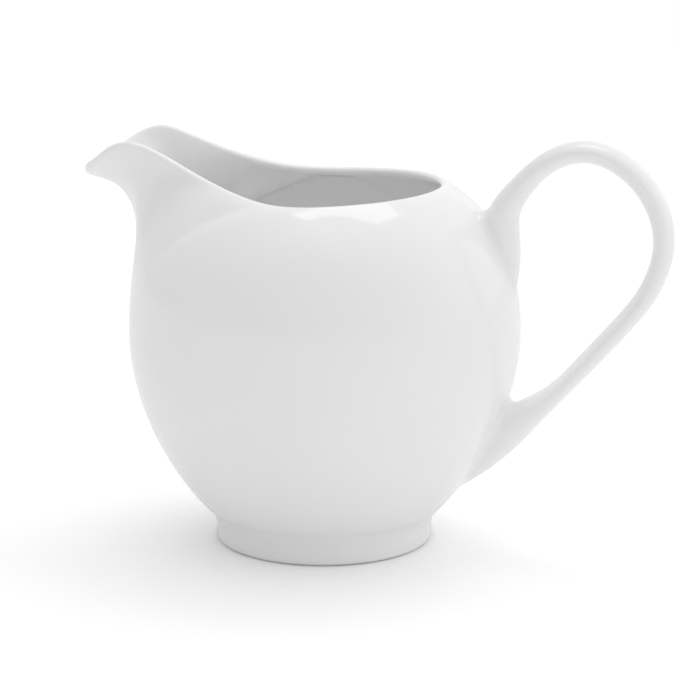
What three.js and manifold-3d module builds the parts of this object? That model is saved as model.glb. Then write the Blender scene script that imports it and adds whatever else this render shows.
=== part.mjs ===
// Porcelain cream jug: a globular cast body with a drawn-out spout, a stuck-on foot ring and a loop handle.
// Millimetres, +Z up. The jug stands on z = 0, the handle points to +X and the spout to -X.
import * as THREE from 'three';
import Module from 'manifold-3d';
import { mergeVertices } from 'three/addons/utils/BufferGeometryUtils.js';

const wasm = await Module();
wasm.setup();

// ---- driving dimensions -------------------------------------------------------------------------

const GAP = 0.3; // clearance left between touching pieces

// The body is drawn as the middle of its wall: two superellipse quarters that meet at the belly.
const BELLY_DIAMETER = 90;
const WALL = 2.8;
const LIP_WALL = 2.1; // the wall thins towards the rounded lip
const BELLY_R = (BELLY_DIAMETER - WALL) / 2;
const BELLY_Z = 48.4;
const SHOULDER_HEIGHT = 39.6; // belly up to the pole of the upper quarter
const SHOULDER_POWER = 2.52;
const BOWL_HEIGHT = 53.3; // belly down to the pole of the lower quarter
const BOWL_POWER = 1.78;

// Foot ring, the slip seam on top of it and the bottom of the body.
const FOOT_HEIGHT = 6;
const FOOT_R = 25.3;
const FOOT_INNER_R = 21.6;
const FOOT_STAND = [22.5, 23.9]; // inner and outer radius of the flat standing edge
const FOOT_EDGE = 1.1; // height of the rounding at the standing edge
const FOOT_SLIP = 0.7; // thickness of the slip seam
const SEAT_R = 25.1; // outside radius of the body where it sits on the foot
const SEAT_Z = FOOT_HEIGHT + GAP;
const RECESS_STEP = 2; // slope between the seat and the underside inside the ring
const UNDERSIDE_Z = 5.2;
const FLOOR_Z = 9.2; // inside floor of the jug
const DISH_RISE = 3.5; // height over which the inside wall turns into the floor

// Middle line of the lip: half a circle round the back of the mouth, then one side of the spout to its nose.
const MOUTH_R = 27.7;
const MOUTH_SIDE_Z = 81.8;
const MOUTH_BACK_Z = 82.9;
const MOUTH_STEPS = 3; // steps from the back of the mouth to its side
const SPOUT_LIP = [
  [-8, 25.7, 82.1],
  [-15, 22.0, 83.2],
  [-23, 18.0, 85.5],
  [-31, 14.7, 88.7],
  [-37.5, 12.9, 91.6],
  [-42.5, 12.2, 92.9],
  [-47, 10.6, 91.6],
  [-51, 6.9, 88.4],
  [-54.2, 3.2, 85.9],
];
const SPOUT_NOSE = [-55.5, 0, 85.1];

// The lip's offset from the plain round mouth fades out down the shoulder, most of it at this power.
const SPOUT_EASE = 1.65;
const LATE_SHARE = 0.05; // the rest is pulled out only right under the lip
const LATE_EASE = 14;

// Handle stations from the upper root to the lower one: x, z, thickness in the loop's plane, width.
const HANDLE_STATIONS = [
  [41.2, 61.0, 4.4, 6.0],
  [41.6, 67.0, 7.2, 8.2],
  [41.0, 73.2, 8.4, 9.8],
  [41.8, 78.9, 7.6, 9.8],
  [45.6, 84.5, 5.5, 8.4],
  [51.5, 90.2, 4.9, 8.0],
  [60.2, 92.9, 4.9, 8.0],
  [68.7, 89.8, 4.9, 8.0],
  [75.2, 82.6, 4.9, 8.0],
  [77.8, 73.2, 4.8, 8.0],
  [75.2, 62.8, 4.6, 8.0],
  [69.4, 54.4, 4.5, 8.0],
  [61.3, 45.0, 4.5, 8.0],
  [53.2, 36.4, 4.9, 8.4],
  [45.2, 29.9, 8.4, 11.0],
  [37.8, 23.6, 9.8, 13.0],
  [29.5, 17.4, 8.6, 12.0],
];
const HANDLE_SECTION_POWER = 2.3; // 2 is an ellipse, higher is squarer
const SLIP_THICKNESS = 0.8; // luting slip between the body and each handle root
const SLIP_PROUD = 0.5; // how far the slip stands out round a root
const ROOT_SPLIT_Z = 50; // height that parts the upper root from the lower one

// Mesh density.
const LIP_COLUMNS = 64;
const WALL_ROWS = 20;
const LIP_ROWS = 4;
const FLOOR_ROWS = 3;
const HANDLE_ROWS = 52;
const HANDLE_COLUMNS = 14;
const RING_COLUMNS = 56;
const RING_ARC_STEPS = 3;

// The part's box is centred on the origin, so the jug's own axis sits towards the spout.
const HANDLE_REACH = 80.17;
const SPOUT_REACH = 56.49;
const AXIS_X = (SPOUT_REACH - HANDLE_REACH) / 2;

// ---- mesh helpers -------------------------------------------------------------------------------

// Skins a stack of closed rings, lowest first for an outside face. A ring of one point is a pole.
function skin(rings) {
  const positions = [];
  const starts = [];
  for (const ring of rings) {
    starts.push(positions.length / 3);
    for (const point of ring) {
      positions.push(point.x, point.y, point.z);
    }
  }
  const indices = [];
  for (let row = 0; row + 1 < rings.length; row += 1) {
    const below = rings[row];
    const above = rings[row + 1];
    const columns = Math.max(below.length, above.length);
    for (let column = 0; column < columns; column += 1) {
      const next = (column + 1) % columns;
      const a = starts[row] + (below.length > 1 ? column : 0);
      const b = starts[row] + (below.length > 1 ? next : 0);
      const c = starts[row + 1] + (above.length > 1 ? next : 0);
      const d = starts[row + 1] + (above.length > 1 ? column : 0);
      if (below.length > 1) {
        indices.push(a, b, c);
      }
      if (above.length > 1) {
        indices.push(a, c, d);
      }
    }
  }
  const geometry = new THREE.BufferGeometry();
  geometry.setAttribute('position', new THREE.Float32BufferAttribute(positions, 3));
  geometry.setIndex(indices);
  return geometry;
}

function toSolid(geometry) {
  const merged = mergeVertices(geometry);
  return new wasm.Manifold(new wasm.Mesh({
    numProp: 3,
    vertProperties: merged.attributes.position.array,
    triVerts: new Uint32Array(merged.index.array),
  }));
}

function toGeometry(solid) {
  const mesh = solid.getMesh();
  const geometry = new THREE.BufferGeometry();
  geometry.setAttribute('position', new THREE.BufferAttribute(mesh.vertProperties, 3));
  geometry.setIndex(new THREE.BufferAttribute(mesh.triVerts, 1));
  return geometry;
}

function largestLump(lumps) {
  return [...lumps].sort((a, b) => b.volume() - a.volume())[0];
}

function piece(name, geometry, look) {
  geometry.computeVertexNormals();
  const mesh = new THREE.Mesh(geometry, new THREE.MeshStandardMaterial(look));
  mesh.name = name;
  return mesh;
}

// ---- body ---------------------------------------------------------------------------------------

// Closed middle line of the lip, anticlockwise from the back of the mouth.
function lipCurve() {
  const half = [];
  for (let step = 0; step <= MOUTH_STEPS; step += 1) {
    const angle = (step / MOUTH_STEPS) * (Math.PI / 2);
    const height = MOUTH_SIDE_Z + (MOUTH_BACK_Z - MOUTH_SIDE_Z) * Math.cos(angle);
    half.push(new THREE.Vector3(MOUTH_R * Math.cos(angle), MOUTH_R * Math.sin(angle), height));
  }
  for (const [x, y, z] of SPOUT_LIP) {
    half.push(new THREE.Vector3(x, y, z));
  }
  const otherHalf = half.slice(1).reverse().map((point) => new THREE.Vector3(point.x, -point.y, point.z));
  return new THREE.CatmullRomCurve3([...half, new THREE.Vector3(...SPOUT_NOSE), ...otherHalf], true);
}

// Radius and height on the middle of the wall; turn is 0 at the belly and a right angle at each pole.
function wallProfile(turn) {
  const power = turn > 0 ? SHOULDER_POWER : BOWL_POWER;
  const height = turn > 0 ? SHOULDER_HEIGHT : BOWL_HEIGHT;
  const radius = BELLY_R * Math.cos(turn) ** (2 / power);
  return { radius, z: BELLY_Z + Math.sign(turn) * height * Math.abs(Math.sin(turn)) ** (2 / power) };
}

const LIP_TURN = Math.acos((MOUTH_R / BELLY_R) ** (SHOULDER_POWER / 2));
const SEAT_TURN = -Math.acos(((SEAT_R - WALL * 0.35) / BELLY_R) ** (BOWL_POWER / 2));

// 0 at and below the belly, 1 at the lip: how far the shoulder has closed in.
function shoulderClimb(turn) {
  return turn > 0 ? (BELLY_R - wallProfile(turn).radius) / (BELLY_R - MOUTH_R) : 0;
}

function ringPoint(radius, around, z) {
  return new THREE.Vector3(radius * Math.cos(around), radius * Math.sin(around), z);
}

// Middle of the wall under one point of the lip, at one turn of the profile.
function wallPoint(lip, turn) {
  const around = Math.atan2(lip.y, lip.x);
  const here = wallProfile(turn);
  const mouth = wallProfile(LIP_TURN);
  const climb = shoulderClimb(turn);
  const pull = (1 - LATE_SHARE) * climb ** SPOUT_EASE + LATE_SHARE * climb ** LATE_EASE;
  const offset = lip.clone().sub(ringPoint(mouth.radius, around, mouth.z));
  return ringPoint(here.radius, around, here.z).addScaledVector(offset, pull);
}

// Rows of wall stations from the foot up to the lip. Each has its middle point, the directions up along the
// wall and out of it, and half the wall's thickness.
function wallStations(lipPoints) {
  const turns = [];
  for (let row = 0; row <= WALL_ROWS; row += 1) {
    turns.push(SEAT_TURN + (LIP_TURN - SEAT_TURN) * (row / WALL_ROWS));
  }
  const rows = turns.map((turn) => lipPoints.map((lip) => wallPoint(lip, turn)));
  return rows.map((row, r) => row.map((point, c) => {
    const columns = row.length;
    const along = row[(c + 1) % columns].clone().sub(row[(c + columns - 1) % columns]).normalize();
    const up = rows[Math.min(r + 1, WALL_ROWS)][c].clone().sub(rows[Math.max(r - 1, 0)][c]);
    up.addScaledVector(along, -up.dot(along)).normalize();
    const half = (WALL + (LIP_WALL - WALL) * shoulderClimb(turns[r]) ** 2) / 2;
    return { point, up, out: along.clone().cross(up), half };
  }));
}

const LIP_POINTS = lipCurve().getSpacedPoints(LIP_COLUMNS).slice(1);
const STATIONS = wallStations(LIP_POINTS);

function levelRing(radius, z) {
  return LIP_POINTS.map((lip) => ringPoint(radius, Math.atan2(lip.y, lip.x), z));
}

// One face of the wall, side 1 outside and -1 inside, moved off it by a clearance.
function wallFace(side, clearance) {
  return STATIONS.map((row) => row.map(
    ({ point, out, half }) => point.clone().addScaledVector(out, side * (half + clearance)),
  ));
}

// Half-round lip, from the outside over the crest to the inside.
function lipRows() {
  const rows = [];
  for (let step = 1; step < LIP_ROWS; step += 1) {
    const angle = (step / LIP_ROWS) * Math.PI;
    rows.push(STATIONS[WALL_ROWS].map(({ point, out, up, half }) => point.clone()
      .addScaledVector(out, half * Math.cos(angle))
      .addScaledVector(up, half * Math.sin(angle))));
  }
  return rows;
}

// Rings of the inside floor, which leave the wall at its slope and flatten towards the middle.
function floorRows(wallEnd, wallBefore) {
  const radius = Math.hypot(wallEnd.x, wallEnd.y);
  const rise = wallEnd.z - FLOOR_Z;
  const slope = (wallBefore.z - wallEnd.z) / (Math.hypot(wallBefore.x, wallBefore.y) - radius);
  const power = (slope * radius) / rise;
  const rows = [];
  for (let step = FLOOR_ROWS; step > 0; step -= 1) {
    const share = step / (FLOOR_ROWS + 1);
    rows.push(levelRing(radius * share, FLOOR_Z + rise * share ** power));
  }
  return rows;
}

function bodyGeometry() {
  const outside = wallFace(1, 0).slice(1);
  const inside = wallFace(-1, 0).filter((row) => row[0].z > FLOOR_Z + DISH_RISE).reverse();
  const last = inside.length - 1;
  return skin([
    [new THREE.Vector3(0, 0, UNDERSIDE_Z)],
    levelRing(FOOT_INNER_R - GAP - RECESS_STEP, UNDERSIDE_Z),
    levelRing(FOOT_INNER_R - GAP, SEAT_Z),
    levelRing(SEAT_R, SEAT_Z),
    ...outside,
    ...lipRows(),
    ...inside,
    ...floorRows(inside[last][0], inside[last - 1][0]),
    [new THREE.Vector3(0, 0, FLOOR_Z)],
  ]);
}

// Everything inside the outer face of the body, grown by a clearance: cuts the handle and slip to fit.
function bodyEnvelope(clearance) {
  const outside = wallFace(1, clearance);
  const bottom = new THREE.Vector3(0, 0, outside[0][0].z);
  const top = new THREE.Vector3(0, 0, outside[WALL_ROWS][0].z);
  return toSolid(skin([[bottom], ...outside, [top]]));
}

// ---- foot ---------------------------------------------------------------------------------------

function footRing() {
  const top = FOOT_HEIGHT - GAP - FOOT_SLIP;
  const [standInner, standOuter] = FOOT_STAND;
  const outline = new THREE.Path();
  outline.moveTo(FOOT_INNER_R, top);
  outline.lineTo(FOOT_INNER_R, FOOT_EDGE);
  outline.quadraticCurveTo(FOOT_INNER_R, 0, standInner, 0);
  outline.lineTo(standOuter, 0);
  outline.quadraticCurveTo(FOOT_R, 0, FOOT_R, FOOT_EDGE);
  outline.lineTo(FOOT_R, top);
  outline.lineTo(FOOT_INNER_R, top);
  return new THREE.LatheGeometry(outline.getPoints(RING_ARC_STEPS), RING_COLUMNS).rotateX(Math.PI / 2);
}

function footSlip() {
  const bottom = FOOT_HEIGHT - FOOT_SLIP;
  const outline = [
    new THREE.Vector2(FOOT_INNER_R, bottom),
    new THREE.Vector2(FOOT_R, bottom),
    new THREE.Vector2(SEAT_R, FOOT_HEIGHT),
    new THREE.Vector2(FOOT_INNER_R, FOOT_HEIGHT),
    new THREE.Vector2(FOOT_INNER_R, bottom),
  ];
  return new THREE.LatheGeometry(outline, RING_COLUMNS).rotateX(Math.PI / 2);
}

// ---- handle -------------------------------------------------------------------------------------

// The handle's loop with its roots running on into the body, grown all round by a margin.
function handleSweep(margin) {
  const path = new THREE.CatmullRomCurve3(HANDLE_STATIONS.map(([x, z]) => new THREE.Vector3(x, 0, z)));
  const sizes = new THREE.SplineCurve(
    HANDLE_STATIONS.map(([, , thickness, width]) => new THREE.Vector2(thickness, width)),
  );
  const across = new THREE.Vector3(0, 1, 0);
  const rings = [];
  for (let row = 0; row <= HANDLE_ROWS; row += 1) {
    const share = row / HANDLE_ROWS;
    const centre = path.getPoint(share);
    const size = sizes.getPoint(share);
    const normal = across.clone().cross(path.getTangent(share)).normalize();
    const ring = [];
    for (let column = 0; column < HANDLE_COLUMNS; column += 1) {
      const angle = (column / HANDLE_COLUMNS) * 2 * Math.PI;
      const roundness = Math.abs(Math.cos(angle)) ** HANDLE_SECTION_POWER
        + Math.abs(Math.sin(angle)) ** HANDLE_SECTION_POWER;
      const reach = roundness ** (-1 / HANDLE_SECTION_POWER);
      ring.push(centre.clone()
        .addScaledVector(normal, (size.x / 2 + margin) * reach * Math.cos(angle))
        .addScaledVector(across, (size.y / 2 + margin) * reach * Math.sin(angle)));
    }
    rings.push(ring);
  }
  return toSolid(skin([[path.getPoint(0)], ...rings, [path.getPoint(1)]]));
}

function handle() {
  const trimmed = handleSweep(0).subtract(bodyEnvelope(2 * GAP + SLIP_THICKNESS));
  return toGeometry(largestLump(trimmed.decompose()));
}

// Slip under one root of the handle: a thin saddle that follows the body and stands a little proud.
function handleSlip(isUpper) {
  const layer = bodyEnvelope(GAP + SLIP_THICKNESS).subtract(bodyEnvelope(GAP));
  const lumps = handleSweep(SLIP_PROUD).intersect(layer).decompose();
  return toGeometry(largestLump(lumps.filter((lump) => (lump.boundingBox().max[2] > ROOT_SPLIT_Z) === isUpper)));
}

// ---- assembly -----------------------------------------------------------------------------------

const GLAZE = { color: 0xe9e9e8, roughness: 0.12, metalness: 0 };
const SLIP = { color: 0xe2e2e0, roughness: 0.3, metalness: 0 };

const jug = new THREE.Group();
jug.name = 'cream_jug';
jug.add(piece('body', bodyGeometry(), GLAZE));
jug.add(piece('foot_ring', footRing(), GLAZE));
jug.add(piece('foot_slip', footSlip(), SLIP));
jug.add(piece('handle', handle(), GLAZE));
jug.add(piece('upper_handle_slip', handleSlip(true), SLIP));
jug.add(piece('lower_handle_slip', handleSlip(false), SLIP));
jug.position.x = AXIS_X;

export default jug;
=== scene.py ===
"""Porcelain cream jug: glazed body, foot ring, loop handle and the slip joins, in a small white studio."""

import math

import bpy
import numpy as np
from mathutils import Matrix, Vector
from mathutils.bvhtree import BVHTree


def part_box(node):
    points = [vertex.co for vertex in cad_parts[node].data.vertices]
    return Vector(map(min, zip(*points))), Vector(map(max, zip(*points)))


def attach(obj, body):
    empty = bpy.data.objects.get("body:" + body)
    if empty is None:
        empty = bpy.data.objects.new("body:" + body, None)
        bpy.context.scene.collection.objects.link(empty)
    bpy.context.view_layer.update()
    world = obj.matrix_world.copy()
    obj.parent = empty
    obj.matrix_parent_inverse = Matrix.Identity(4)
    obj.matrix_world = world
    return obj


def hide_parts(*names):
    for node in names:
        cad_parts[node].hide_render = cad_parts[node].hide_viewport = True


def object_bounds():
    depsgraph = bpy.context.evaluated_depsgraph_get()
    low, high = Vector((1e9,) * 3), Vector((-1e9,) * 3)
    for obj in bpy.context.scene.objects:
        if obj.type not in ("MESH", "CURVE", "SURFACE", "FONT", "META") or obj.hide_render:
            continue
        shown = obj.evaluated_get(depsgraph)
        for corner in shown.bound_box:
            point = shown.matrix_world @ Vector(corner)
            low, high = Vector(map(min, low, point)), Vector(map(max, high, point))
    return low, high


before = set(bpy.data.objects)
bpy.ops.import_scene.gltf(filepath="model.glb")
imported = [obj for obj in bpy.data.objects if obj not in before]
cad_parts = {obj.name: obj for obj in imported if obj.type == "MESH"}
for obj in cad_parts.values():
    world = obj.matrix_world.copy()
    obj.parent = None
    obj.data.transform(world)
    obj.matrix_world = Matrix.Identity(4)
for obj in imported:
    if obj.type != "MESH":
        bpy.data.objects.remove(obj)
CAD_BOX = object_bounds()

bl_info = {
    "name": "Porcelain Cream Jug",
    "version": (1, 0, 0),
    "blender": (4, 5, 0),
    "location": "View3D > Sidebar > Cream Jug",
    "description": "Models a glazed porcelain cream jug with a drawn spout and a loop handle",
    "category": "Object",
}

MM = 0.001

# From the frame, in metres.
FOOT_LOW, FOOT_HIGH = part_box("foot_ring")
AXIS_X = (FOOT_LOW.x + FOOT_HIGH.x) / 2
JUG_HEIGHT = CAD_BOX[1].z

# From here down to the stage, lengths are in millimetres.

# Half of the lip's middle line, measured from the jug's axis: back of the mouth, side, spout, nose.
MOUTH_R = 27.7
MOUTH_SIDE_Z = 81.8
MOUTH_BACK_Z = 82.9
MOUTH_STEPS = 3
SPOUT_LIP = [
    (-8, 25.7, 82.1),
    (-15, 22.0, 83.2),
    (-23, 18.0, 85.5),
    (-31, 14.7, 88.7),
    (-37.5, 13.4, 91.5),
    (-42.5, 13.2, 92.6),
    (-47, 11.8, 91.1),
    (-51, 8.0, 88.1),
    (-54.2, 4.0, 85.8),
]
SPOUT_NOSE = (-54.9, 0, 85.2)
NOSE_THICKER = 1.0  # the lip is this much thicker at the nose
NOSE_FROM = math.radians(166)  # and the thickening starts this far round the axis from the handle's side

# Outline of the wall's middle: two superellipse quarters that meet at the belly, blended there.
BELLY_Z = 48.4
SHOULDER_HEIGHT = 39.6
SHOULDER_POWER = 2.52
BOWL_HEIGHT = 53.3
BOWL_POWER = 1.78
OUTLINE_STEPS = 1200
OUTLINE_SOFTENING = 2.6
SEAT_TUCK = 0.35  # share of the wall by which the outline starts inside the seat

# The casting is a little fuller between the ends of the handle.
BULGE = 0.55
BULGE_Z = 48.0
BULGE_REACH = 16.0

# How the spout's pull fades down the shoulder: most of it early, the rest right under the lip.
SPOUT_EASE = 1.5
LATE_SHARE = 0.2
LATE_EASE = 16

# Beside the spout the shoulder runs on round and the flank rises out of a valley. Each pair is an angle
# round the axis, in degrees from the handle's side, and how far up the shoulder the valley lies there, from
# 0 at the belly to 1 at the lip.
VALLEY = [(0, 0), (60, 0), (88, 0.9), (110, 0.92), (118, 0.82), (123, 0.74), (128.5, 0.65), (132, 0.54)]
VALLEY += [(137, 0.37), (142.5, 0.22), (147, 0.13), (153, 0.05), (160, 0), (180, 0)]
VALLEY_BLUR = range(-4, 5, 2)  # the turns in degrees that are averaged
VALLEY_FULL = 0.4  # a valley at or above this height has its full strength
VALLEY_SOFTNESS = 0.08
VALLEY_EASE = 0.9  # how much of the slow start of the pull is lost where there is a valley
VALLEY_DEPTH = 1.05  # how far the wall is pressed in where the valley is deepest
VALLEY_DEEPEST = 126  # degrees round the axis
VALLEY_RUN = 15  # degrees over which it gets shallower
VALLEY_WIDTH = 0.1  # share of the climb over which it starts
VALLEY_IN, VALLEY_DOWN = 0.6, 0.8  # shares of the depth towards the axis and downwards

# Floor, underside and seat of the body.
SEAT_R = 25.1
SEAT_Z = 6.3
RECESS_R = 21.3
RECESS_STEP = 2.0
UNDERSIDE_Z = 5.2
FLOOR_Z = 9.2
DISH_RISE = 3.5

# Handle stations from the upper root to the lower one: x, z, thickness in the loop's plane, width.
HANDLE_STATIONS = [
    (42.2, 54.0, 3.0, 5.0),
    (42.0, 60.5, 5.6, 6.8),
    (41.6, 67.0, 8.0, 8.4),
    (41.2, 73.2, 8.4, 9.4),
    (42.0, 78.9, 7.0, 9.2),
    (45.6, 84.5, 5.5, 8.4),
    (51.5, 90.2, 4.9, 8.0),
    (60.2, 92.9, 4.9, 8.0),
    (68.7, 89.8, 4.9, 8.0),
    (75.2, 82.6, 4.9, 8.0),
    (77.8, 73.2, 4.8, 8.0),
    (75.2, 62.8, 4.6, 8.0),
    (69.4, 54.4, 4.5, 8.0),
    (61.3, 45.0, 4.5, 8.0),
    (53.2, 36.4, 4.9, 8.4),
    (45.2, 29.9, 8.4, 9.8),
    (37.8, 23.6, 9.8, 10.8),
    (30.2, 17.6, 8.8, 10.2),
    (23.6, 12.6, 6.0, 9.0),
]
HANDLE_SECTION_POWER = 2.05
BURIED = 0.7  # depth inside the wall of what the body hides

# Foot outline.
FOOT_R = (FOOT_HIGH.x - FOOT_LOW.x) / 2 / MM
FOOT_INNER_R = 21.6
FOOT_INNER_EDGE = (22.5, 0.12)  # radius and height at which the inner edge's arc ends
FOOT_STAND = (23.0, 23.7)  # the flat standing face lies between these radii
FOOT_EDGE = 1.1
FOOT_TOP = 6.1

# Where the glaze is wiped off the standing edge: between these heights, and higher or lower by the wander.
BARE_EDGE = (0.55, 0.75)
BARE_WANDER = 0.35
BARE_ROUGHNESS = 0.62

# Slip over the foot: the arc of a ball in the crease between foot and bowl, with a buried back.
BALL_REACH = 20.0  # the ball's middle is looked for within this height of the table
BALL_HALVINGS = 50
BOWL_FINENESS = 4  # times as many rows as the body has, to find the bowl under the ball
SLIP_RUN_ON = 12  # of those rows, past the end of the arc
SLIP_SINK = 0.05
SLIP_START = (0.02, 0.6)  # in from the foot's side and down from the arc
SLIP_BACK = ((0.4, 1.2), (1.6, -0.4))  # in from the foot's side and up from the seat

# Mesh density.
LIP_COLUMNS = 192
OUTER_ROWS = 112
INNER_ROWS = 104
LIP_ROWS = 14
FLOOR_ROWS = 22
HANDLE_ROWS = 260
HANDLE_COLUMNS = 48
INNER_EDGE_STEPS = 6
OUTER_EDGE_STEPS = 8
FOOT_WALL_STEPS = 8
JOIN_STEPS = 20
RING_STEPS = 160
MEASURE_STEPS = 4001  # points by which a line is measured
MERGE_WITHIN = 0.002  # vertices closer than this become one

# Slip beads: how far an edge runs on past its arc, how deep it sinks in and how far the back is buried.
JOIN_OVERLAP = 1.0
JOIN_SINK = 0.012
JOIN_BACK = 0.5
JOIN_BACK_MOST = 2.2  # in radii of the arc
JOIN_NARROWEST = 0.3  # the least cosine of half the arc that the back allows for
ARC_LEAST = 1e-6  # a turn in radians below which an arc is a point
SAME_PLACE = 1e-3  # points closer than this give no direction

# The sheen of the glaze drifts between these shares of its roughness.
GLOSS_DRIFT = (0.8, 1.25)

# Colour inputs and output of a mix node, whose names it gives to other sockets too.
MIX_FIRST, MIX_SECOND, MIX_RESULT = 6, 7, 2

# Stage, in metres.
FLOOR_ACROSS = 16
CAMERA_AIM = Vector((-0.0082, 0.0008, JUG_HEIGHT * 0.4912))
SOFTBOX_PLACE = Vector((0.06, 0.28, 0.86))
SOFTBOX_SIZE = (0.46, 0.26)
SNOOT_HIGH = 0.9
SNOOT_REACH = 23 * MM
CEILING_FOCUS = 6.0  # higher draws the light together overhead


# ---- settings ------------------------------------------------------------------------------------


class JugSizes(bpy.types.PropertyGroup):
    """Sizes that change the jug."""

    wall: bpy.props.FloatProperty(
        name="Wall", description="Thickness of the body's wall", default=2.8 * MM, unit="LENGTH"
    )
    lip_wall: bpy.props.FloatProperty(
        name="Lip", description="Thickness of the wall at the lip", default=2.1 * MM, unit="LENGTH"
    )
    belly: bpy.props.FloatProperty(
        name="Belly", description="Diameter of the belly", default=90 * MM, unit="LENGTH"
    )
    notch_fillet: bpy.props.FloatProperty(
        name="Notch fillet",
        description="Radius of the slip wiped between the rim side of the handle and the shoulder",
        default=3.0 * MM,
        unit="LENGTH",
    )
    side_fillet: bpy.props.FloatProperty(
        name="Side fillet",
        description="Radius of the slip wiped along the sides of the handle's ends",
        default=2.4 * MM,
        unit="LENGTH",
    )
    lower_fillet: bpy.props.FloatProperty(
        name="Lower fillet",
        description="Radius of the slip in the crease over the lower end of the handle",
        default=1.3 * MM,
        unit="LENGTH",
    )
    tail_fillet: bpy.props.FloatProperty(
        name="Tail fillet",
        description="Radius of the slip that feathers the tails of the handle into the body",
        default=5.0 * MM,
        unit="LENGTH",
    )
    foot_fillet: bpy.props.FloatProperty(
        name="Foot fillet",
        description="Radius of the slip between the foot ring and the bowl",
        default=6.0 * MM,
        unit="LENGTH",
    )


class JugFinish(bpy.types.PropertyGroup):
    """Colours and finish of the jug."""

    porcelain: bpy.props.FloatVectorProperty(
        name="Porcelain",
        description="Colour of the glazed porcelain",
        subtype="COLOR",
        size=3,
        min=0,
        max=1,
        default=(0.965, 0.965, 0.965),
    )
    pooled: bpy.props.FloatVectorProperty(
        name="Pooled glaze",
        description="Colour where the glaze lies thickest",
        subtype="COLOR",
        size=3,
        min=0,
        max=1,
        default=(0.945, 0.945, 0.943),
    )
    bare: bpy.props.FloatVectorProperty(
        name="Bare porcelain",
        description="Colour of the unglazed standing edge",
        subtype="COLOR",
        size=3,
        min=0,
        max=1,
        default=(0.78, 0.78, 0.765),
    )
    gloss: bpy.props.FloatProperty(
        name="Glaze roughness", description="Roughness of the fired glaze", default=0.09, min=0, max=1
    )


class StudioSettings(bpy.types.PropertyGroup):
    """Floor, light and camera."""

    horizon: bpy.props.FloatProperty(
        name="Horizon", description="Brightness of the walls round the set", default=0.74, min=0
    )
    overhead: bpy.props.FloatProperty(
        name="Overhead", description="How much brighter the ceiling is than the walls", default=0.5, min=0
    )
    bright_back: bpy.props.FloatProperty(
        name="Bright back", description="How much brighter the wall behind the jug is", default=0.22
    )
    bright_side: bpy.props.FloatProperty(
        name="Bright side", description="How much brighter the wall on the handle's side is", default=0.16
    )
    floor_shown: bpy.props.FloatProperty(
        name="Floor shown", description="Brightness of the paper floor as it is seen", default=1.155, min=0
    )
    floor_bounce: bpy.props.FloatProperty(
        name="Floor bounce", description="Brightness of the floor as the glaze sees it", default=0.98, min=0
    )
    snoot: bpy.props.FloatProperty(
        name="Snoot",
        description="Power of the narrow light from above into the mouth",
        default=20.0,
        unit="POWER",
    )
    softbox: bpy.props.FloatProperty(
        name="Softbox",
        description="Power of the small softbox high behind the jug",
        default=0.5,
        unit="POWER",
    )
    lens: bpy.props.FloatProperty(
        name="Lens", description="Focal length in millimetres", default=136.3, min=1
    )
    camera_turn: bpy.props.FloatProperty(
        name="Camera turn",
        description="How far the camera stands round towards the handle",
        default=math.radians(13.0),
        subtype="ANGLE",
    )
    camera_rise: bpy.props.FloatProperty(
        name="Camera rise",
        description="How steeply the camera looks down",
        default=math.radians(13.29),
        subtype="ANGLE",
    )
    camera_distance: bpy.props.FloatProperty(
        name="Camera distance", description="From the camera to its aim", default=0.596, unit="LENGTH"
    )


# ---- making and finishing pieces -----------------------------------------------------------------


def deselect():
    if bpy.context.object and bpy.context.object.mode != "OBJECT":
        bpy.ops.object.mode_set(mode="OBJECT")
    bpy.ops.object.select_all(action="DESELECT")


def close_up(piece, smooth_angle):
    """Merges seams and poles, turns the faces outwards, smooths what isn't an edge and checks for holes."""
    bpy.ops.object.mode_set(mode="EDIT")
    bpy.ops.mesh.select_all(action="SELECT")
    bpy.ops.mesh.remove_doubles(threshold=MERGE_WITHIN * MM)
    bpy.ops.mesh.normals_make_consistent(inside=False)
    bpy.ops.object.mode_set(mode="OBJECT")
    if volume(piece) < 0:
        bpy.ops.object.mode_set(mode="EDIT")
        bpy.ops.mesh.select_all(action="SELECT")
        bpy.ops.mesh.flip_normals()
        bpy.ops.object.mode_set(mode="OBJECT")
    bpy.ops.object.shade_smooth_by_angle(angle=math.radians(smooth_angle))
    if any(len(edge_faces) != 2 for edge_faces in faces_by_edge(piece).values()):
        raise RuntimeError(f"{piece.name} is not closed")


def faces_by_edge(piece):
    found = {}
    for face in piece.data.polygons:
        for key in face.edge_keys:
            found.setdefault(key, []).append(face.index)
    return found


def volume(piece):
    """Volume inside a closed piece, less than 0 if its faces look inwards."""
    mesh = piece.data
    mesh.calc_loop_triangles()
    corners = np.array([[mesh.vertices[v].co for v in tri.vertices] for tri in mesh.loop_triangles])
    return float(np.einsum("ij,ij->i", corners[:, 0], np.cross(corners[:, 1], corners[:, 2])).sum() / 6)


def hand_over(piece, material, nodes):
    """Gives a finished piece its glaze and its place in the assembly."""
    piece.data.materials.clear()
    piece.data.materials.append(material)
    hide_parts(*nodes)
    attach(piece, "root")


def roll_up(name, rows, closed_rows=False):
    """Rolls a flat sheet round: rows[r][c] is where a point of the sheet goes, measured from the axis."""
    row_count, columns = rows.shape[:2]
    spans = row_count if closed_rows else row_count - 1
    deselect()
    bpy.ops.mesh.primitive_grid_add(x_subdivisions=columns, y_subdivisions=spans, size=1)
    piece = bpy.context.object
    piece.name = name
    piece.data.name = name
    flat = np.empty(len(piece.data.vertices) * 3)
    piece.data.vertices.foreach_get("co", flat)
    flat = flat.reshape(-1, 3)
    column = np.rint((flat[:, 0] + 0.5) * columns).astype(int) % columns
    row = np.rint((flat[:, 1] + 0.5) * spans).astype(int) % row_count
    placed = rows[row, column] * MM + np.array([AXIS_X, 0, 0])
    piece.data.vertices.foreach_set("co", placed.ravel())
    piece.data.update()
    return piece


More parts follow.
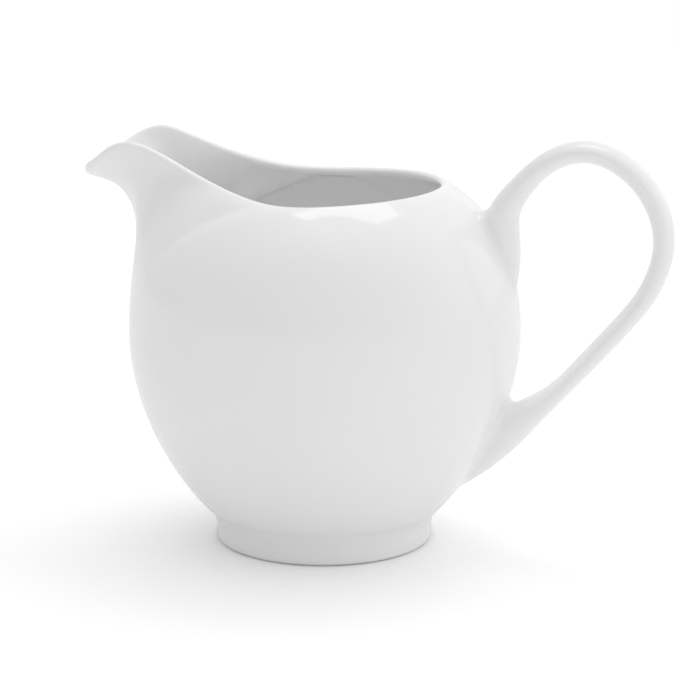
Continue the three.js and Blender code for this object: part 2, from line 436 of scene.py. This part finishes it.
def turn_round(name, outline):
    """Turns a closed outline, (radius, height) pairs in millimetres, round the jug's axis."""
    deselect()
    bpy.ops.mesh.primitive_circle_add(vertices=len(outline), radius=1, location=(0, 0, 0))
    piece = bpy.context.object
    piece.name = name
    piece.data.name = name
    for vertex, (radius, z) in zip(ring_order(piece), outline):
        vertex.co = (AXIS_X + radius * MM, 0, z * MM)
    bpy.ops.object.mode_set(mode="EDIT")
    bpy.ops.mesh.select_all(action="SELECT")
    bpy.ops.mesh.spin(
        steps=RING_STEPS, angle=2 * math.pi, center=(AXIS_X, 0, 0), axis=(0, 0, 1), use_auto_merge=False
    )
    bpy.ops.object.mode_set(mode="OBJECT")
    return piece


def ring_order(piece):
    """The vertices of a round primitive in order round its middle."""
    return sorted(piece.data.vertices, key=lambda v: math.atan2(v.co.y, v.co.x))


# ---- lines ---------------------------------------------------------------------------------------


def smooth_line(points, closed):
    """A cubic line through the points, without a kink in its curvature. Returns a function of its share."""
    points = np.array(points, float)
    if closed:
        points = np.vstack([points, points[:1]])
    steps = np.sqrt(np.linalg.norm(np.diff(points[:, :3], axis=0), axis=1))
    knots = np.concatenate([[0], np.cumsum(steps)])
    count = len(points)
    system = np.zeros((count, count))
    right = np.zeros_like(points)
    for k in range(1, count - 1):
        system[k, k - 1] = steps[k - 1]
        system[k, k] = 2 * (steps[k - 1] + steps[k])
        system[k, k + 1] = steps[k]
        right[k] = 6 * (
            (points[k + 1] - points[k]) / steps[k] - (points[k] - points[k - 1]) / steps[k - 1]
        )
    if closed:
        system[0, 0] = 2 * (steps[-1] + steps[0])
        system[0, 1] = steps[0]
        system[0, count - 2] = steps[-1]
        right[0] = 6 * ((points[1] - points[0]) / steps[0] - (points[0] - points[-2]) / steps[-1])
        system[-1, 0], system[-1, -1] = 1, -1
    else:
        system[0, 0] = system[-1, -1] = 1
    bends = np.linalg.solve(system, right)

    def at(share):
        t = np.clip(np.asarray(share, float), 0, 1) * knots[-1]
        k = np.clip(np.searchsorted(knots, t, side="right") - 1, 0, count - 2)
        h = steps[k][:, None]
        a = (knots[k + 1] - t)[:, None] / h
        b = 1 - a
        curve = a * points[k] + b * points[k + 1]
        return curve + ((a**3 - a) * bends[k] + (b**3 - b) * bends[k + 1]) * h**2 / 6

    return at


def even_shares(line, count, closed):
    """Shares at which a line is cut into equal lengths."""
    fine = np.linspace(0, 1, MEASURE_STEPS)
    lengths = np.concatenate([[0], np.cumsum(np.linalg.norm(np.diff(line(fine)[:, :3], axis=0), axis=1))])
    wanted = np.linspace(0, lengths[-1], count + 1 if closed else count)
    shares = np.interp(wanted, lengths, fine)
    return shares[:-1] if closed else shares


def ease(x):
    x = np.clip(x, 0, 1)
    return x * x * (3 - 2 * x)


def unit(vectors):
    return vectors / np.linalg.norm(vectors, axis=-1, keepdims=True)


# ---- the body's wall -----------------------------------------------------------------------------


def lip_points():
    """Points on the middle of the lip, anticlockwise from the back of the mouth."""
    half = []
    for step in range(MOUTH_STEPS + 1):
        angle = step / MOUTH_STEPS * math.pi / 2
        height = MOUTH_SIDE_Z + (MOUTH_BACK_Z - MOUTH_SIDE_Z) * math.cos(angle)
        half.append((MOUTH_R * math.cos(angle), MOUTH_R * math.sin(angle), height))
    half += SPOUT_LIP
    other = [(x, -y, z) for x, y, z in reversed(half[1:])]
    line = smooth_line(half + [SPOUT_NOSE] + other, closed=True)
    return line(even_shares(line, LIP_COLUMNS, closed=True))


def outline_of_wall(belly_r, wall):
    """Radius and height up the middle of the wall, from the seat to the lip, by length along it."""
    lip_turn = math.acos((MOUTH_R / belly_r) ** (SHOULDER_POWER / 2))
    seat_turn = -math.acos(((SEAT_R - wall * SEAT_TUCK) / belly_r) ** (BOWL_POWER / 2))
    turns = np.linspace(seat_turn, lip_turn, OUTLINE_STEPS)
    power = np.where(turns > 0, SHOULDER_POWER, BOWL_POWER)
    height = np.where(turns > 0, SHOULDER_HEIGHT, BOWL_HEIGHT)
    radius = belly_r * np.cos(turns) ** (2 / power)
    z = BELLY_Z + np.sign(turns) * height * np.abs(np.sin(turns)) ** (2 / power)
    line = np.c_[radius, z]
    lengths = np.concatenate([[0], np.cumsum(np.linalg.norm(np.diff(line, axis=0), axis=1))])
    even = np.linspace(0, lengths[-1], OUTLINE_STEPS)
    line = np.c_[np.interp(even, lengths, radius), np.interp(even, lengths, z)]
    reach = OUTLINE_SOFTENING / (even[1] - even[0])
    pad = int(4 * reach)
    before = 2 * line[0] - line[pad:0:-1]
    after = 2 * line[-1] - line[-2 : -pad - 2 : -1]
    weights = np.exp(-0.5 * (np.arange(-pad, pad + 1) / reach) ** 2)
    weights /= weights.sum()
    longer = np.vstack([before, line, after])
    softened = np.c_[
        np.convolve(longer[:, 0], weights, "valid"), np.convolve(longer[:, 1], weights, "valid")
    ]
    return even, softened


class Wall:
    """The wall of the body as rows of points from the seat up to the lip."""

    def __init__(self, sizes):
        wall = sizes.wall / MM
        lip_wall = sizes.lip_wall / MM
        belly_r = (sizes.belly / MM - wall) / 2
        self.lips = lip_points()
        self.around = np.arctan2(self.lips[:, 1], self.lips[:, 0])
        self.turned = np.degrees(np.abs(self.around))
        turns, climbs = np.array(VALLEY).T
        shifted = [np.interp(self.turned + turn, turns, climbs) for turn in VALLEY_BLUR]
        self.valley = np.mean(shifted, axis=0)
        self.lengths, self.outline = outline_of_wall(belly_r, wall)
        self.belly_r = belly_r
        self.wall, self.lip_wall = wall, lip_wall

    def climb(self, radius, z):
        """0 at and below the belly, 1 at the lip."""
        return np.where(z > BELLY_Z, (self.belly_r - radius) / (self.belly_r - MOUTH_R), 0).clip(0, 1)

    def pull(self, climb):
        """Share of the lip's offset from a plain round mouth, a column for each point of the lip."""
        start = self.valley
        strength = ease(start / VALLEY_FULL)
        soft = VALLEY_SOFTNESS * strength

        def hinge(x):
            return (x + np.sqrt(x * x + soft * soft)) / 2

        lowest = hinge(-start / (1 - start))
        ramp = (hinge((climb - start) / (1 - start)) - lowest) / (hinge(np.ones_like(start)) - lowest)
        late = LATE_SHARE * (1 - strength)
        return (1 - late) * ramp ** (SPOUT_EASE - VALLEY_EASE * strength) + late * ramp**LATE_EASE

    def pressed(self, climb):
        """How far the wall is pressed in along the valleys, in millimetres."""
        depth = VALLEY_DEPTH * np.exp(-(((self.turned - VALLEY_DEEPEST) / VALLEY_RUN) ** 2))
        below = np.exp(-(((climb - self.valley) / VALLEY_WIDTH) ** 2))
        above = 1 - ease((climb - self.valley) / (1 - self.valley))
        return depth * np.where(climb < self.valley, below, above)

    def middle(self, lengths):
        """Points on the wall's middle at these lengths up the outline, a row for each."""
        radius = np.interp(lengths, self.lengths, self.outline[:, 0])
        z = np.interp(lengths, self.lengths, self.outline[:, 1])
        climb = self.climb(radius, z)
        pull = self.pull(climb[:, None])
        top_r, top_z = self.outline[-1]
        ring = np.c_[np.cos(self.around), np.sin(self.around), np.zeros(len(self.around))]
        plain_lip = ring * top_r + np.array([0, 0, top_z])
        offset = self.lips - plain_lip
        fuller = BULGE * np.exp(-(((z[:, None] - BULGE_Z) / BULGE_REACH) ** 2))
        fuller = fuller * np.cos(self.around).clip(0) ** 2
        pressed = self.pressed(climb[:, None])
        rows = (radius[:, None] + fuller - VALLEY_IN * pressed)[..., None] * ring[None]
        rows[..., 2] += z[:, None] - VALLEY_DOWN * pressed
        return rows + pull[..., None] * offset[None], climb

    def faces(self, count):
        """The middle of the wall, its outward directions, its upward directions and half its thickness."""
        lengths = np.linspace(0, self.lengths[-1], count)
        middle, climb = self.middle(lengths)
        along = unit(np.roll(middle, -1, axis=1) - np.roll(middle, 1, axis=1))
        up = np.gradient(middle, axis=0)
        up = unit(up - (up * along).sum(-1, keepdims=True) * along)
        out = np.cross(along, up)
        nose = ease((np.abs(self.around) - NOSE_FROM) / (math.pi - NOSE_FROM))
        lip_wall = self.lip_wall + NOSE_THICKER * nose
        half = (self.wall + (lip_wall - self.wall) * climb[:, None] ** 2) / 2
        return middle, out, up, half[..., None]


def level_ring(around, radius, z):
    return np.c_[radius * np.cos(around), radius * np.sin(around), np.full(len(around), z)]


def floor_rows(around, wall_end, wall_before):
    """Rings of the inside floor, which leave the wall at its slope and flatten towards the middle."""
    radius = math.hypot(wall_end[0], wall_end[1])
    rise = wall_end[2] - FLOOR_Z
    slope = (wall_before[2] - wall_end[2]) / (math.hypot(wall_before[0], wall_before[1]) - radius)
    power = slope * radius / rise
    shares = np.linspace(1, 0, FLOOR_ROWS + 1)[1:]
    return [level_ring(around, radius * s, FLOOR_Z + rise * s**power) for s in shares]


def outside_skin(wall):
    """A tree of the body's outer face, to find how far a point is from it."""
    middle, out, _, half = wall.faces(OUTER_ROWS)
    rows = (middle + out * half) * MM + np.array([AXIS_X, 0, 0])
    count, columns = rows.shape[:2]
    points = rows.reshape(-1, 3)
    starts = [(r * columns, c, (c + 1) % columns) for r in range(count - 1) for c in range(columns)]
    quads = [(row + c, row + d, row + columns + d, row + columns + c) for row, c, d in starts]
    return BVHTree.FromPolygons([Vector(p) for p in points], quads)


class JUG_OT_body(bpy.types.Operator):
    """Model the glazed body with its lip, spout, floor and underside"""

    bl_idname = "jug.body"
    bl_label = "Body"

    def execute(self, context):
        wall = Wall(context.scene.jug_sizes)
        middle, out, up, half = wall.faces(OUTER_ROWS)
        outside = list((middle + out * half)[1:])
        lip = []
        for step in range(1, LIP_ROWS):
            angle = step / LIP_ROWS * math.pi
            lip.append(middle[-1] + half[-1] * (out[-1] * math.cos(angle) + up[-1] * math.sin(angle)))
        middle, out, _, half = wall.faces(INNER_ROWS)
        inside = [row for row in (middle - out * half) if row[0, 2] > FLOOR_Z + DISH_RISE][::-1]
        bottom = [
            level_ring(wall.around, 0, UNDERSIDE_Z),
            level_ring(wall.around, (RECESS_R - RECESS_STEP) / 2, UNDERSIDE_Z),
            level_ring(wall.around, RECESS_R - RECESS_STEP, UNDERSIDE_Z),
            level_ring(wall.around, RECESS_R, SEAT_Z),
            level_ring(wall.around, SEAT_R, SEAT_Z),
        ]
        floor = floor_rows(wall.around, inside[-1][0], inside[-2][0])
        piece = roll_up("jug_body", np.array(bottom + outside + lip + inside + floor))
        close_up(piece, smooth_angle=40)
        hand_over(piece, glaze_material(context), ["body"])
        return {"FINISHED"}


# ---- the foot ------------------------------------------------------------------------------------


def arc(centre, start, end, steps):
    """Points round a centre from start to end, the shorter way."""
    first, last = np.asarray(start) - centre, np.asarray(end) - centre
    radius = np.linalg.norm(first)
    angle = math.acos(np.clip(np.dot(first, last) / (radius * np.linalg.norm(last)), -1, 1))
    if angle < ARC_LEAST:
        return [np.asarray(start) for _ in range(steps + 1)]
    return [
        centre + (first * math.sin((1 - s) * angle) + last * math.sin(s * angle)) / math.sin(angle)
        for s in np.linspace(0, 1, steps + 1)
    ]


def foot_outline():
    """Radius and height round the foot ring: down its inner side, over the standing face and up again."""
    inner_middle, outer_middle = (FOOT_INNER_R + FOOT_EDGE, FOOT_EDGE), (FOOT_R - FOOT_EDGE, FOOT_EDGE)
    inner = arc(inner_middle, (FOOT_INNER_R, FOOT_EDGE), FOOT_INNER_EDGE, INNER_EDGE_STEPS)
    outer = arc(outer_middle, (FOOT_R - FOOT_EDGE, 0), (FOOT_R, FOOT_EDGE), OUTER_EDGE_STEPS)
    heights = np.linspace(FOOT_EDGE, FOOT_TOP, FOOT_WALL_STEPS)[1:]
    outline = [(FOOT_INNER_R, z) for z in heights[::-1]] + [tuple(p) for p in inner]
    outline += [(radius, 0) for radius in FOOT_STAND] + [tuple(p) for p in outer]
    outline += [(FOOT_R, z) for z in heights]
    return outline + [((FOOT_R + FOOT_INNER_R) / 2, FOOT_TOP)]


def foot_slip_outline(wall, radius):
    """Radius and height round the slip over the foot, whose face is the arc of a ball in the crease."""
    middle, out, _, half = wall.faces(OUTER_ROWS * BOWL_FINENESS)
    side = (middle + out * half)[:, 0]
    bowl = np.c_[np.hypot(side[:, 0], side[:, 1]), side[:, 2]]
    bowl = bowl[bowl[:, 1] < BELLY_Z]
    low, high = -BALL_REACH, BALL_REACH
    for _ in range(BALL_HALVINGS):
        z = (low + high) / 2
        gap = np.linalg.norm(bowl - np.array([FOOT_R + radius, z]), axis=1).min()
        low, high = (z, high) if gap > radius else (low, z)
    centre = np.array([FOOT_R + radius, (low + high) / 2])
    touching = np.linalg.norm(bowl - centre, axis=1).argmin()
    face = arc(centre, (FOOT_R, centre[1]), bowl[touching], JOIN_STEPS)
    beyond = bowl[touching + SLIP_RUN_ON] + np.array([-SLIP_SINK, SLIP_SINK])
    inwards, down = SLIP_START
    outline = [(FOOT_R - inwards, centre[1] - down)] + [tuple(p) for p in face] + [tuple(beyond)]
    return outline + [(FOOT_R - inwards, SEAT_Z + up) for inwards, up in SLIP_BACK]


class JUG_OT_foot(bpy.types.Operator):
    """Turn the foot ring and the slip wiped round the top of it"""

    bl_idname = "jug.foot"
    bl_label = "Foot ring"

    def execute(self, context):
        sizes = context.scene.jug_sizes
        ring = turn_round("foot_ring_glazed", foot_outline())
        close_up(ring, smooth_angle=50)
        hand_over(ring, foot_material(context), ["foot_ring"])
        join = turn_round("foot_join_glazed", foot_slip_outline(Wall(sizes), sizes.foot_fillet / MM))
        close_up(join, smooth_angle=40)
        hand_over(join, glaze_material(context), ["foot_slip"])
        return {"FINISHED"}


# ---- the handle ----------------------------------------------------------------------------------


def handle_surface():
    """Rows of points along the handle, tails included, and the outward directions there."""
    path = smooth_line(HANDLE_STATIONS, closed=False)
    shares = even_shares(path, HANDLE_ROWS, closed=False)
    stations = path(shares)
    centre = np.c_[stations[:, 0], np.zeros(HANDLE_ROWS), stations[:, 1]]
    tangent = unit(np.gradient(centre, axis=0))
    across = np.array([0.0, 1.0, 0.0])
    normal = unit(np.cross(across, tangent))
    angle = np.arange(HANDLE_COLUMNS) / HANDLE_COLUMNS * 2 * math.pi
    power = HANDLE_SECTION_POWER
    reach = (np.abs(np.cos(angle)) ** power + np.abs(np.sin(angle)) ** power) ** (-1 / power)
    rows = (
        centre[:, None]
        + normal[:, None] * (stations[:, 2, None] / 2 * reach * np.cos(angle))[..., None]
        + across * (stations[:, 3, None] / 2 * reach * np.sin(angle))[..., None]
    )
    along = np.gradient(rows, axis=0)
    round_it = np.roll(rows, -1, axis=1) - np.roll(rows, 1, axis=1)
    out = unit(np.cross(round_it, along))
    if ((rows - centre[:, None]) * out).sum() < 0:
        out = -out
    return rows, out


def nearest(skin, point):
    """The nearest place on the body's outside, the way out of it and the distance, less than 0 inside."""
    place, facing, _, _ = skin.find_nearest(Vector(point * MM) + Vector((AXIS_X, 0, 0)))
    place = (np.array(place) - np.array([AXIS_X, 0, 0])) / MM
    facing = np.array(facing)
    if np.dot(facing, place - np.array([0, 0, BELLY_Z])) < 0:
        facing = -facing
    gap = point - place
    return place, facing, math.copysign(np.linalg.norm(gap), np.dot(gap, facing))


def roll_ball(skin, line, out, radius, order):
    """Rolls a ball along a line of the handle until it meets the body.

    Returns the last row where it is clear, the first where it isn't, and the share between them."""
    clear = None
    for row in order:
        _, _, gap = nearest(skin, line[row] + radius * out[row])
        if gap < radius:
            break
        clear, clear_gap = row, gap
    if clear is None or clear == row:
        raise RuntimeError("a side of the handle never reaches the body")
    return clear, row, (clear_gap - radius) / (clear_gap - gap)


def bead_section(skin, line, out, radius, order):
    """Points round the slip bead at one line of the handle: the ball's near arc and a buried back."""
    clear, met, share = roll_ball(skin, line, out, radius, order)
    start = line[clear] * (1 - share) + line[met] * share
    centre = start + radius * unit(out[clear] * (1 - share) + out[met] * share)
    place, facing, _ = nearest(skin, centre)
    edge = clear
    while np.linalg.norm(line[edge] - start) < JOIN_OVERLAP and 0 < edge < HANDLE_ROWS - 1:
        edge += np.sign(clear - met)
    away = place - start if np.linalg.norm(place - start) > SAME_PLACE else line[met] - line[clear]
    away = unit(away)
    away = unit(away - np.dot(away, facing) * facing)
    beyond, beyond_facing, _ = nearest(skin, place + away * JOIN_OVERLAP)
    spread = math.acos(np.clip(np.dot(unit(start - centre), unit(place - centre)), -1, 1)) / 2
    depth = radius / max(math.cos(spread), JOIN_NARROWEST) + JOIN_BACK
    middle = unit((start - centre) + (place - centre))
    deep = centre + middle * min(depth, radius * JOIN_BACK_MOST)
    points = [line[edge] - out[edge] * JOIN_SINK]
    points += arc(centre, start, place, JOIN_STEPS)
    return points + [beyond - beyond_facing * JOIN_SINK, deep]


def join_rows(skin, rows, out, radii, order):
    """Rows of the slip bead in the crease between one end of the handle and the body."""
    beads = [bead_section(skin, rows[:, c], out[:, c], radii[c], order) for c in range(HANDLE_COLUMNS)]
    return np.array(beads).transpose(1, 0, 2)


class JUG_OT_handle(bpy.types.Operator):
    """Model the loop handle and the slip wiped round both its ends"""

    bl_idname = "jug.handle"
    bl_label = "Handle"

    def execute(self, context):
        sizes = context.scene.jug_sizes
        skin = outside_skin(Wall(sizes))
        rows, out = handle_surface()
        angle = np.arange(HANDLE_COLUMNS) / HANDLE_COLUMNS * 2 * math.pi
        rim_side = np.clip(-np.cos(angle), 0, 1) ** 2
        finger_side = np.clip(np.cos(angle), 0, 1) ** 2
        middle_row = HANDLE_ROWS // 2
        upwards, downwards = range(middle_row, -1, -1), range(middle_row, HANDLE_ROWS)
        notch, lower = sizes.notch_fillet, sizes.lower_fillet
        for name, node, order, crotch, tail, top in (
            ("upper_join_glazed", "upper_handle_slip", upwards, rim_side, finger_side, notch),
            ("lower_join_glazed", "lower_handle_slip", downwards, finger_side, rim_side, lower),
        ):
            radii = sizes.side_fillet + (top - sizes.side_fillet) * crotch
            radii = (radii + (sizes.tail_fillet - sizes.side_fillet) * tail) / MM
            bead = join_rows(skin, rows, out, radii, order)
            piece = roll_up(name, bead, closed_rows=True)
            close_up(piece, smooth_angle=60)
            hand_over(piece, glaze_material(context), [node])
        for r in range(HANDLE_ROWS):
            for c in range(HANDLE_COLUMNS):
                place, facing, gap = nearest(skin, rows[r, c])
                if gap < -BURIED:
                    rows[r, c] = place - facing * BURIED
        caps = [rows[:1].mean(axis=1, keepdims=True), rows[-1:].mean(axis=1, keepdims=True)]
        caps = [np.repeat(cap, HANDLE_COLUMNS, axis=1) for cap in caps]
        piece = roll_up("jug_handle", np.concatenate([caps[0], rows, caps[1]]))
        close_up(piece, smooth_angle=60)
        hand_over(piece, glaze_material(context), ["handle"])
        return {"FINISHED"}


# ---- finishes ------------------------------------------------------------------------------------


class Nodes:
    """A short way to build a material's nodes."""

    def __init__(self, name):
        self.material = bpy.data.materials.new(name)
        self.material.use_nodes = True
        self.tree = self.material.node_tree
        self.shader = self.tree.nodes["Principled BSDF"]

    def add(self, kind, links=(), **values):
        node = self.tree.nodes.new(kind)
        for key, value in values.items():
            setattr(node, key, value)
        for socket, source in dict(links).items():
            if isinstance(source, bpy.types.NodeSocket):
                self.tree.links.new(source, node.inputs[socket])
            else:
                node.inputs[socket].default_value = source
        return node

    def into_shader(self, socket, source):
        self.tree.links.new(source, self.shader.inputs[socket])


def glaze_nodes(name, context):
    """Clear glaze over white porcelain: faint pooling, a drifting sheen and a soft orange-peel."""
    finish = context.scene.jug_finish
    nodes = Nodes(name)
    place = nodes.add("ShaderNodeTexCoord").outputs["Object"]
    drift = nodes.add(
        "ShaderNodeTexNoise", {"Vector": place, "Scale": 26.0, "Detail": 2.0, "Roughness": 0.45}
    )
    body = nodes.add("ShaderNodeValToRGB", {"Fac": drift.outputs["Fac"]})
    body.color_ramp.elements[0].position = 0.3
    body.color_ramp.elements[0].color = (*finish.pooled, 1)
    body.color_ramp.elements[1].position = 0.7
    body.color_ramp.elements[1].color = (*finish.porcelain, 1)
    nodes.into_shader("Base Color", body.outputs["Color"])
    least, most = (finish.gloss * share for share in GLOSS_DRIFT)
    sheen = nodes.add("ShaderNodeTexNoise", {"Vector": place, "Scale": 90.0, "Detail": 3.0})
    rough = nodes.add(
        "ShaderNodeMapRange", {"Value": sheen.outputs["Fac"], "To Min": least, "To Max": most}
    )
    nodes.into_shader("Roughness", rough.outputs["Result"])
    peel = nodes.add(
        "ShaderNodeTexNoise", {"Vector": place, "Scale": 260.0, "Detail": 1.5, "Roughness": 0.4}
    )
    bump = nodes.add(
        "ShaderNodeBump", {"Height": peel.outputs["Fac"], "Strength": 0.05, "Distance": 0.0002}
    )
    nodes.into_shader("Normal", bump.outputs["Normal"])
    nodes.shader.inputs["IOR"].default_value = 1.5
    nodes.shader.inputs["Coat Weight"].default_value = 0.35
    nodes.shader.inputs["Coat Roughness"].default_value = 0.03
    nodes.shader.inputs["Coat IOR"].default_value = 1.5
    return nodes, body


def glaze_material(context):
    if "glazed porcelain" in bpy.data.materials:
        return bpy.data.materials["glazed porcelain"]
    return glaze_nodes("glazed porcelain", context)[0].material


def foot_material(context):
    """The same glaze, wiped off the standing edge."""
    nodes, body = glaze_nodes("glazed foot, bare edge", context)
    finish = context.scene.jug_finish
    place = nodes.add("ShaderNodeTexCoord").outputs["Object"]
    parts = nodes.add("ShaderNodeSeparateXYZ", {"Vector": place})
    wander = nodes.add("ShaderNodeTexNoise", {"Vector": place, "Scale": 120.0, "Detail": 3.0})
    edge = nodes.add(
        "ShaderNodeMath",
        {0: wander.outputs["Fac"], 1: BARE_WANDER * MM, 2: parts.outputs["Z"]},
        operation="MULTIPLY_ADD",
    )
    bare = nodes.add(
        "ShaderNodeMapRange",
        {
            "Value": edge.outputs[0],
            "From Min": BARE_EDGE[0] * MM,
            "From Max": BARE_EDGE[1] * MM,
            "To Min": 1.0,
            "To Max": 0.0,
        },
    )
    mix = nodes.tree.nodes.new("ShaderNodeMix")
    mix.data_type = "RGBA"
    nodes.tree.links.new(bare.outputs["Result"], mix.inputs["Factor"])
    nodes.tree.links.new(body.outputs["Color"], mix.inputs[MIX_FIRST])
    mix.inputs[MIX_SECOND].default_value = (*finish.bare, 1)
    nodes.into_shader("Base Color", mix.outputs[MIX_RESULT])
    rough = nodes.add(
        "ShaderNodeMapRange",
        {"Value": bare.outputs["Result"], "To Min": finish.gloss, "To Max": BARE_ROUGHNESS},
    )
    nodes.into_shader("Roughness", rough.outputs["Result"])
    return nodes.material


# ---- studio --------------------------------------------------------------------------------------


class JUG_OT_stage(bpy.types.Operator):
    """Lay the pale floor, hang the lights and set up the camera"""

    bl_idname = "jug.stage"
    bl_label = "Studio"

    def execute(self, context):
        studio = context.scene.jug_studio
        deselect()
        bpy.ops.mesh.primitive_plane_add(size=FLOOR_ACROSS, location=(0, 0, 0))
        floor = context.object
        floor.name = "studio_floor"
        floor.data.materials.append(self.paper(studio))
        context.scene.world = self.dome(studio)
        self.softbox(studio.softbox)
        self.snoot(studio.snoot)
        context.scene.camera = self.camera(studio)
        context.scene.view_settings.view_transform = "Standard"
        context.scene.view_settings.look = "None"
        return {"FINISHED"}

    def put(self, data, place, towards):
        """Puts a light or a camera in its place, turned to look along a direction."""
        thing = bpy.data.objects.new(data.name, data)
        thing.location = place
        thing.rotation_mode = "QUATERNION"
        thing.rotation_quaternion = towards.to_track_quat("-Z", "Y")
        bpy.context.scene.collection.objects.link(thing)
        return thing

    def camera(self, studio):
        data = bpy.data.cameras.new("studio camera")
        data.lens = studio.lens
        data.sensor_width = 36
        data.clip_start = 0.01
        data.clip_end = 50
        turn, rise = studio.camera_turn, studio.camera_rise
        back = Vector((math.sin(turn) * math.cos(rise), -math.cos(turn) * math.cos(rise), math.sin(rise)))
        return self.put(data, CAMERA_AIM + back * studio.camera_distance, -back)

    def softbox(self, power):
        """A small softbox high behind the jug, which puts a bright band under the rim."""
        data = bpy.data.lights.new("high softbox", "AREA")
        data.shape = "RECTANGLE"
        data.size, data.size_y = SOFTBOX_SIZE
        data.energy = power
        self.put(data, SOFTBOX_PLACE, Vector((0, 0, JUG_HEIGHT / 2)) - SOFTBOX_PLACE)

    def snoot(self, power):
        """Soft-edged light straight down the mouth, which stands in for the glow of thin porcelain."""
        data = bpy.data.lights.new("snoot", "SPOT")
        data.energy = power
        data.spot_size = 2 * math.atan(SNOOT_REACH / SNOOT_HIGH)
        data.spot_blend = 0.5
        data.shadow_soft_size = 0.01
        self.put(data, (AXIS_X, 0, JUG_HEIGHT + SNOOT_HIGH), Vector((0, 0, -1)))

    def paper(self, studio):
        """White paper with a fine grain. What it throws back on the jug is less than what is seen of it."""
        nodes = Nodes("pale paper floor")
        place = nodes.add("ShaderNodeTexCoord").outputs["Object"]
        seen = nodes.add("ShaderNodeLightPath").outputs["Is Camera Ray"]
        level = nodes.add(
            "ShaderNodeMapRange",
            {"Value": seen, "To Min": studio.floor_bounce, "To Max": studio.floor_shown},
        )
        grain = nodes.add("ShaderNodeTexNoise", {"Vector": place, "Scale": 400.0, "Detail": 2.0})
        grain = nodes.add(
            "ShaderNodeMapRange", {"Value": grain.outputs["Fac"], "To Min": 0.99, "To Max": 1.01}
        )
        tone = nodes.add(
            "ShaderNodeMath", {0: level.outputs["Result"], 1: grain.outputs["Result"]}, operation="MULTIPLY"
        )
        diffuse = nodes.add("ShaderNodeBsdfDiffuse", {"Color": tone.outputs[0]})
        output = nodes.tree.nodes["Material Output"]
        nodes.tree.links.new(diffuse.outputs["BSDF"], output.inputs["Surface"])
        return nodes.material

    def dome(self, studio):
        """A white tent round the set, brightest overhead and brighter behind and on the handle's side."""
        world = bpy.data.worlds.new("white tent")
        world.use_nodes = True
        tree = world.node_tree
        background = tree.nodes["Background"]
        background.inputs["Color"].default_value = (1, 1, 1, 1)

        def math_node(operation, first, second):
            node = tree.nodes.new("ShaderNodeMath")
            node.operation = operation
            for socket, value in ((0, first), (1, second)):
                if isinstance(value, bpy.types.NodeSocket):
                    tree.links.new(value, node.inputs[socket])
                else:
                    node.inputs[socket].default_value = value
            return node.outputs[0]

        split = tree.nodes.new("ShaderNodeSeparateXYZ")
        tree.links.new(tree.nodes.new("ShaderNodeTexCoord").outputs["Generated"], split.inputs[0])
        up = math_node("MAXIMUM", split.outputs["Z"], 0.0)
        ceiling = math_node("MULTIPLY", math_node("POWER", up, CEILING_FOCUS), studio.overhead)
        side = math_node("MULTIPLY", split.outputs["X"], studio.bright_side)
        back = math_node("MULTIPLY", split.outputs["Y"], studio.bright_back)
        walls = math_node("ADD", math_node("ADD", side, back), studio.horizon)
        lit = math_node("ADD", ceiling, walls)
        seen = tree.nodes.new("ShaderNodeLightPath").outputs["Is Camera Ray"]
        tree.links.new(math_node("MAXIMUM", lit, seen), background.inputs["Strength"])
        return world


class JUG_PT_panel(bpy.types.Panel):
    """Lists the jug's settings and its pieces in the sidebar"""

    bl_idname = "JUG_PT_panel"
    bl_label = "Cream Jug"
    bl_space_type = "VIEW_3D"
    bl_region_type = "UI"
    bl_category = "Cream Jug"

    def draw(self, context):
        for group in (context.scene.jug_sizes, context.scene.jug_finish, context.scene.jug_studio):
            box = self.layout.box()
            for name in group.__annotations__:
                box.prop(group, name)
        for operator in OPERATORS:
            self.layout.operator(operator.bl_idname)


OPERATORS = (JUG_OT_body, JUG_OT_foot, JUG_OT_handle, JUG_OT_stage)
CLASSES = (JugSizes, JugFinish, StudioSettings, *OPERATORS, JUG_PT_panel)


def register():
    for cls in CLASSES:
        bpy.utils.register_class(cls)
    bpy.types.Scene.jug_sizes = bpy.props.PointerProperty(type=JugSizes)
    bpy.types.Scene.jug_finish = bpy.props.PointerProperty(type=JugFinish)
    bpy.types.Scene.jug_studio = bpy.props.PointerProperty(type=StudioSettings)


def unregister():
    del bpy.types.Scene.jug_studio
    del bpy.types.Scene.jug_finish
    del bpy.types.Scene.jug_sizes
    for cls in reversed(CLASSES):
        bpy.utils.unregister_class(cls)


def main():
    register()
    bpy.ops.jug.body()
    bpy.ops.jug.foot()
    bpy.ops.jug.handle()
    bpy.ops.jug.stage()


if __name__ == "__main__":
    main()
